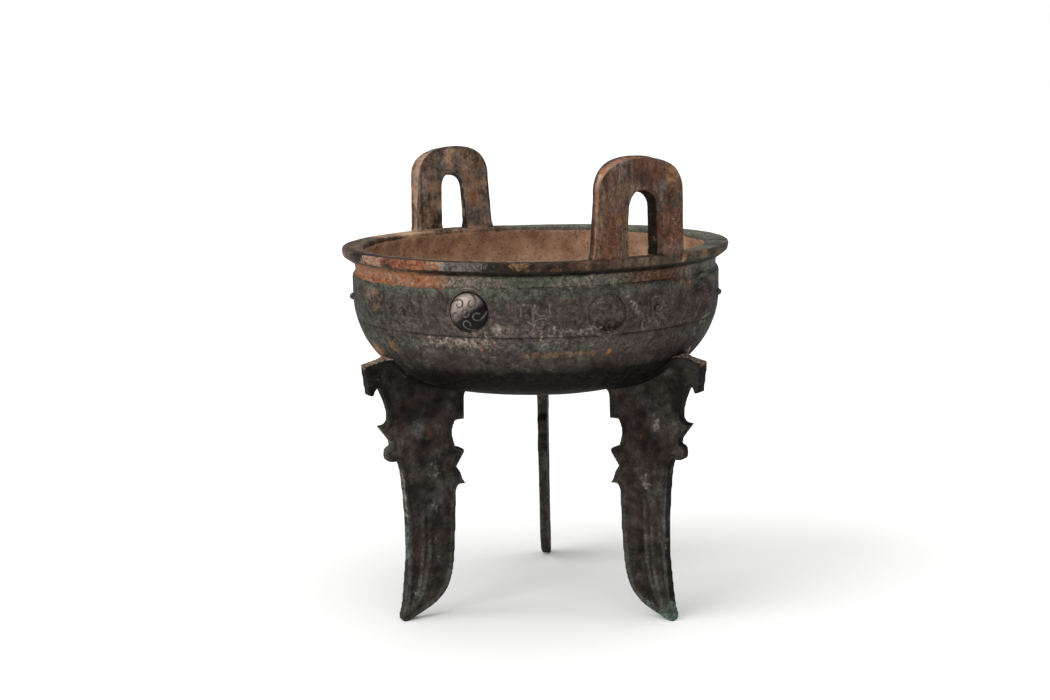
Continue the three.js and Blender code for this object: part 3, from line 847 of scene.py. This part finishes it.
handle("handle_plus_x", 0, 35.8, 38.0, (1.3, 0.3), (2.8, 1.5, 2.4, 0.237, 3.2), (0.32, 0.3), 0, [
    ("russet", -24, 314, 12, 0.4), ("russet", -28, 291, 9, 0.4), ("russet", 9, 353, 12, 0.4),
    ("russet", 28, 310, 10, 0.3), ("tan", 28, 310, 7, 0.25), ("ochre", 25, 346, 8, 0.32),
    ("ochre", -19, 314, 2, 0.6), ("soot_and_painted_shade", 0, 343, 7, 0.35), ("soot_and_painted_shade", 26, 327, 6, 0.3)])
handle("handle_minus_x", 180, 35.0, 37.4, (-0.5, -1.7), (1.0, 0.2, 2.7, 0.10, -2.4), (0.1, 0.05), 500, [
    ("verdigris", -12, 341, 2.5, 0.36), ("tan", -17, 315, 3, 0.3), ("tan", 24, 342, 5, 0.25),
    ("rust", 18, 314, 5, 0.25), ("soot_and_painted_shade", -20, 297, 9, 0.4), ("soot_and_painted_shade", 27, 325, 8, 0.15),
    ("rust", -9, 322, 5, 0.2), ("ochre", 24, 311, 7, 0.2), ("soot_and_painted_shade", 3, 348, 16, 0.05),
    ("bloom_and_painted_light", 3, 346, 13, 0.12), ("bloom_and_painted_light", 26, 305, 12, 0.2)])

# The three legs: flat blades about 8 mm thick, cast with the bowl, with hooks and spikes on both
# edges. The lower blade has raised margins and two ribs, and the root swells into the belly.
leg_thickness, leg_swell = 8, 1.25
leg_angles = [26.7, 146.7, 266.7]
fillet = 8
voxel = 0.95
foot_inner, foot_outer = 118.6, 122.4


def curve_through(points, per_span=6):
    """A smooth line through points, as a bent strip would take."""
    points = np.asarray(points, float)
    padded = np.vstack([2 * points[0] - points[1], points, 2 * points[-1] - points[-2]])
    part = np.linspace(0, 1, per_span, endpoint=False)[:, None]
    spans = []
    for p0, p1, p2, p3 in zip(padded[:-3], padded[1:-2], padded[2:-1], padded[3:]):
        spans.append(0.5 * (2 * p1 + (p2 - p0) * part + (2 * p0 - 5 * p1 + 4 * p2 - p3) * part ** 2
                            + (3 * p1 - p0 - 3 * p2 + p3) * part ** 3))
    return np.vstack(spans + [points[-1:]])


def leg_outline():
    """The leg's outline as distance from the axis and height, from the foot up the outer edge."""
    outer_edge = [
        curve_through([(foot_outer, 0), (122.9, 4.5), (120.9, 12), (118.2, 34), (116.3, 56), (116.9, 90),
                       (119, 118)]),
        [(121.5, 127.8)],
        curve_through([(126, 127.4), (130.5, 128.6), (132, 132.6), (130.8, 137.7), (127.1, 140)]),
        [(127.9, 144), (136.6, 155.8)],
        curve_through([(130.8, 156.8), (128.8, 160), (128.8, 166), (130.4, 173), (133.2, 180.5),
                       (135.2, 184.8), (137.2, 186.2), (139.3, 184.2), (141.2, 180.6), (144.6, 181)]),
        [(147.2, 203.8)],
    ]
    side_end = math.acos((belly_height - 209) / (side_arc - wall / 2))
    root = np.vstack([
        arc(side_centre, belly_height, side_arc - wall / 2, side_end, arc_join, 3),
        arc(0, floor_centre, floor_arc - wall / 2, arc_join, 0.195, 3)[1:]])
    inner_edge = [
        [(67.9, 154.8)],
        curve_through([(75.6, 154.4), (78, 148.4), (78.1, 141.7), (76.1, 133.5)]),
        [(69.5, 131.3), (68.2, 129), (75.5, 117.8), (72.2, 112.6), (70.4, 107), (67.7, 102.8)],
        curve_through([(71.4, 103.4), (74.6, 102.2), (76.4, 96.5), (77.6, 72), (80, 40), (85.6, 21.4),
                       (96.4, 10.2), (111.4, 3), (foot_inner, 0)]),
    ]
    return np.vstack(outer_edge + [root] + inner_edge)


def leg_blank(outline):
    """The cut-out blade as an even fine mesh."""
    count = len(outline)
    half = leg_thickness / 2
    sides = [[(r * mm, y * mm, z * mm) for r, z in outline] for y in (-half, half)]
    faces = [tuple(range(count)), tuple(range(2 * count - 1, count - 1, -1))]
    faces += [((i + 1) % count, i, count + i, count + (i + 1) % count) for i in range(count)]
    mesh = bpy.data.meshes.new("leg_blank")
    mesh.from_pydata(sides[0] + sides[1], [], faces)
    blank = bpy.data.objects.new("leg_blank", mesh)
    bpy.context.scene.collection.objects.link(blank)
    remesh = blank.modifiers.new("even_mesh", "REMESH")
    remesh.mode = "VOXEL"
    remesh.voxel_size = voxel * mm
    made = bpy.data.meshes.new_from_object(blank.evaluated_get(bpy.context.evaluated_depsgraph_get()))
    points = np.empty(len(made.vertices) * 3)
    made.vertices.foreach_get("co", points)
    faces = [tuple(polygon.vertices) for polygon in made.polygons]
    bpy.data.objects.remove(blank)
    bpy.data.meshes.remove(mesh)
    bpy.data.meshes.remove(made)
    return points.reshape(-1, 3) / mm, faces


outline = leg_outline()
blank_points, blank_faces = leg_blank(outline)
ribs = [[(97.5, 92), (98.5, 60), (101, 38), (106, 20), (115, 6)],
        [(103.5, 92), (104, 60), (106, 38), (110, 20), (117, 6)]]
tongue = [[(84, 184), (88, 170), (97, 162), (107, 165), (112, 176), (112, 186)]]


def leg(name, angle, seed, wider=0, patches=(), levels=(), on_outer_edge=()):
    """One leg. Wider is how far its inner edge stands in. The rest say where a coat grows stronger:
    in patches, from one level to another, and along its outer edge."""
    flat = blank_points[:, [0, 2]]
    side = np.sign(blank_points[:, 1])
    edge = distance_to(flat, [np.vstack([outline, outline[:1]])])
    height = flat[:, 1]
    on_face = smooth(2.2, 3.4, np.abs(blank_points[:, 1]))
    blade = (1 - smooth(86, 100, height)) * smooth(2, 10, height)
    recess = blade * smooth(3.2, 5, edge)
    rib = (1 - smooth(0.6, 2.6, distance_to(flat, [curve_through(r) for r in ribs]))) * recess
    fringe = (1 - smooth(0.4, 1.0, np.abs(edge - 3.2))) * (1 - blade) * (1 - smooth(178, 190, height))
    tongue_cut = 1 - smooth(0.4, 1.1, distance_to(flat, [curve_through(t) for t in tongue]))
    lines = np.maximum(fringe * 0.7, tongue_cut * 0.3)
    stipple = uneven(blank_points + seed, 3, 61, 2)
    depth = 0.95 * recess - 0.85 * rib + 0.5 * lines + recess * (1 - rib) * 0.25 * stipple
    depth -= 0.3 * uneven(blank_points + seed, 25, 62) + 0.12 * uneven(blank_points + seed, 6, 64)
    thick = 1 + (leg_swell - 1) * smooth(140, 205, height)
    rise = np.clip(fillet - off_belly(flat[:, 0], height), 0, fillet)
    flare = fillet - np.sqrt(np.maximum(fillet ** 2 - rise ** 2, 0))
    points = blank_points.copy()
    points[:, 1] = points[:, 1] * thick + side * on_face * (flare - depth)
    points[:, 0] += 0.25 * uneven(blank_points + seed, 12, 63) * (1 - on_face)
    points[:, 0] -= wider * smooth(105, 78, flat[:, 0])
    points[:, 2] = np.maximum(points[:, 2], 0)
    placed = turn_to(angle, points)
    marks = patina_marks(placed)
    raised = on_face * blade * np.maximum(rib, 1 - smooth(3.2, 5, edge))
    raised *= 0.5 + 0.5 * uneven(placed, 16, 66)
    on_edge = np.maximum(1 - on_face, 1 - smooth(0.4, 1.0, edge))
    outer_edge = on_edge * smooth(110, 116, flat[:, 0])
    marks["soot_and_painted_shade"] += 0.30 - 0.2 * raised + 0.06 * recess * (1 - rib) + 0.14 * uneven(placed, 20, 67)
    marks["green"] += 0.02 + 0.16 * raised + 0.06 * on_edge
    marks["umber"] += 0.18 + 0.14 * uneven(placed, 24, 68)
    marks["earth"] += 0.06 * uneven(placed, 30, 65) + 0.08 * outer_edge
    marks["tan"] += 0.04 + 0.3 * on_edge * smooth(198, 204, height)
    marks["rust"] += 0.25 * on_edge * smooth(196, 204, height)
    marks["bloom_and_painted_light"] += 0.08 + 0.12 * raised
    corner = near(edge, 1.3, 0.3, 0.6) * on_face * smooth(110, 116, flat[:, 0]) * (height < 120)
    marks["green"] += 0.25 * corner
    marks["verdigris"] += 0.08 * outer_edge
    grow(marks, patches, flat[:, 0], height, 0.6)
    for mark, first, last, strength in levels:
        marks[mark] += strength * smooth(first, last, height)
    for mark, middle, half, fade, strength in on_outer_edge:
        marks[mark] += strength * outer_edge * near(height, middle, half, fade)
    marks = {mark: np.clip(value, 0, 1) for mark, value in marks.items()}
    marks["hollow"] = np.clip(lines, 0, 1) * on_face * 0.6
    piece(name, placed, blank_faces, marks)


leg("leg_plus_x", leg_angles[0], 0, patches=[
    ("bloom_and_painted_light", 102, 167, 9, 0.16), ("tan", 109, 153, 4, 0.22), ("russet", 96, 144, 4, 0.5),
    ("rust", 96, 144, 2, 0.25), ("tan", 99, 108, 5, 0.22), ("russet", 107, 125, 3, 0.4)],
    levels=[("soot_and_painted_shade", 90, 110, 0.08), ("verdigris", 28, 4, 0.32)],
    on_outer_edge=[("soot_and_painted_shade", 100, 110, 1, 0.25)])
leg("leg_minus_x", leg_angles[1], 300)
leg("leg_minus_y", leg_angles[2], 600, wider=1.4, patches=[
    ("bloom_and_painted_light", 95, 90, 7, 0.36), ("tan", 95, 88, 4, 0.25), ("bloom_and_painted_light", 107, 152, 6, 0.3),
    ("russet", 95.6, 147, 4, 0.4), ("tan", 92.6, 114, 4, 0.2), ("tan", 94, 62, 4, 0.2)],
    # Painted shade at the top of this leg, where it meets the belly.
    levels=[("soot_and_painted_shade", 145, 175, 0.28)],
    on_outer_edge=[("tan", 100, 16, 8, 0.24), ("verdigris", 62, 10, 8, 0.26)])
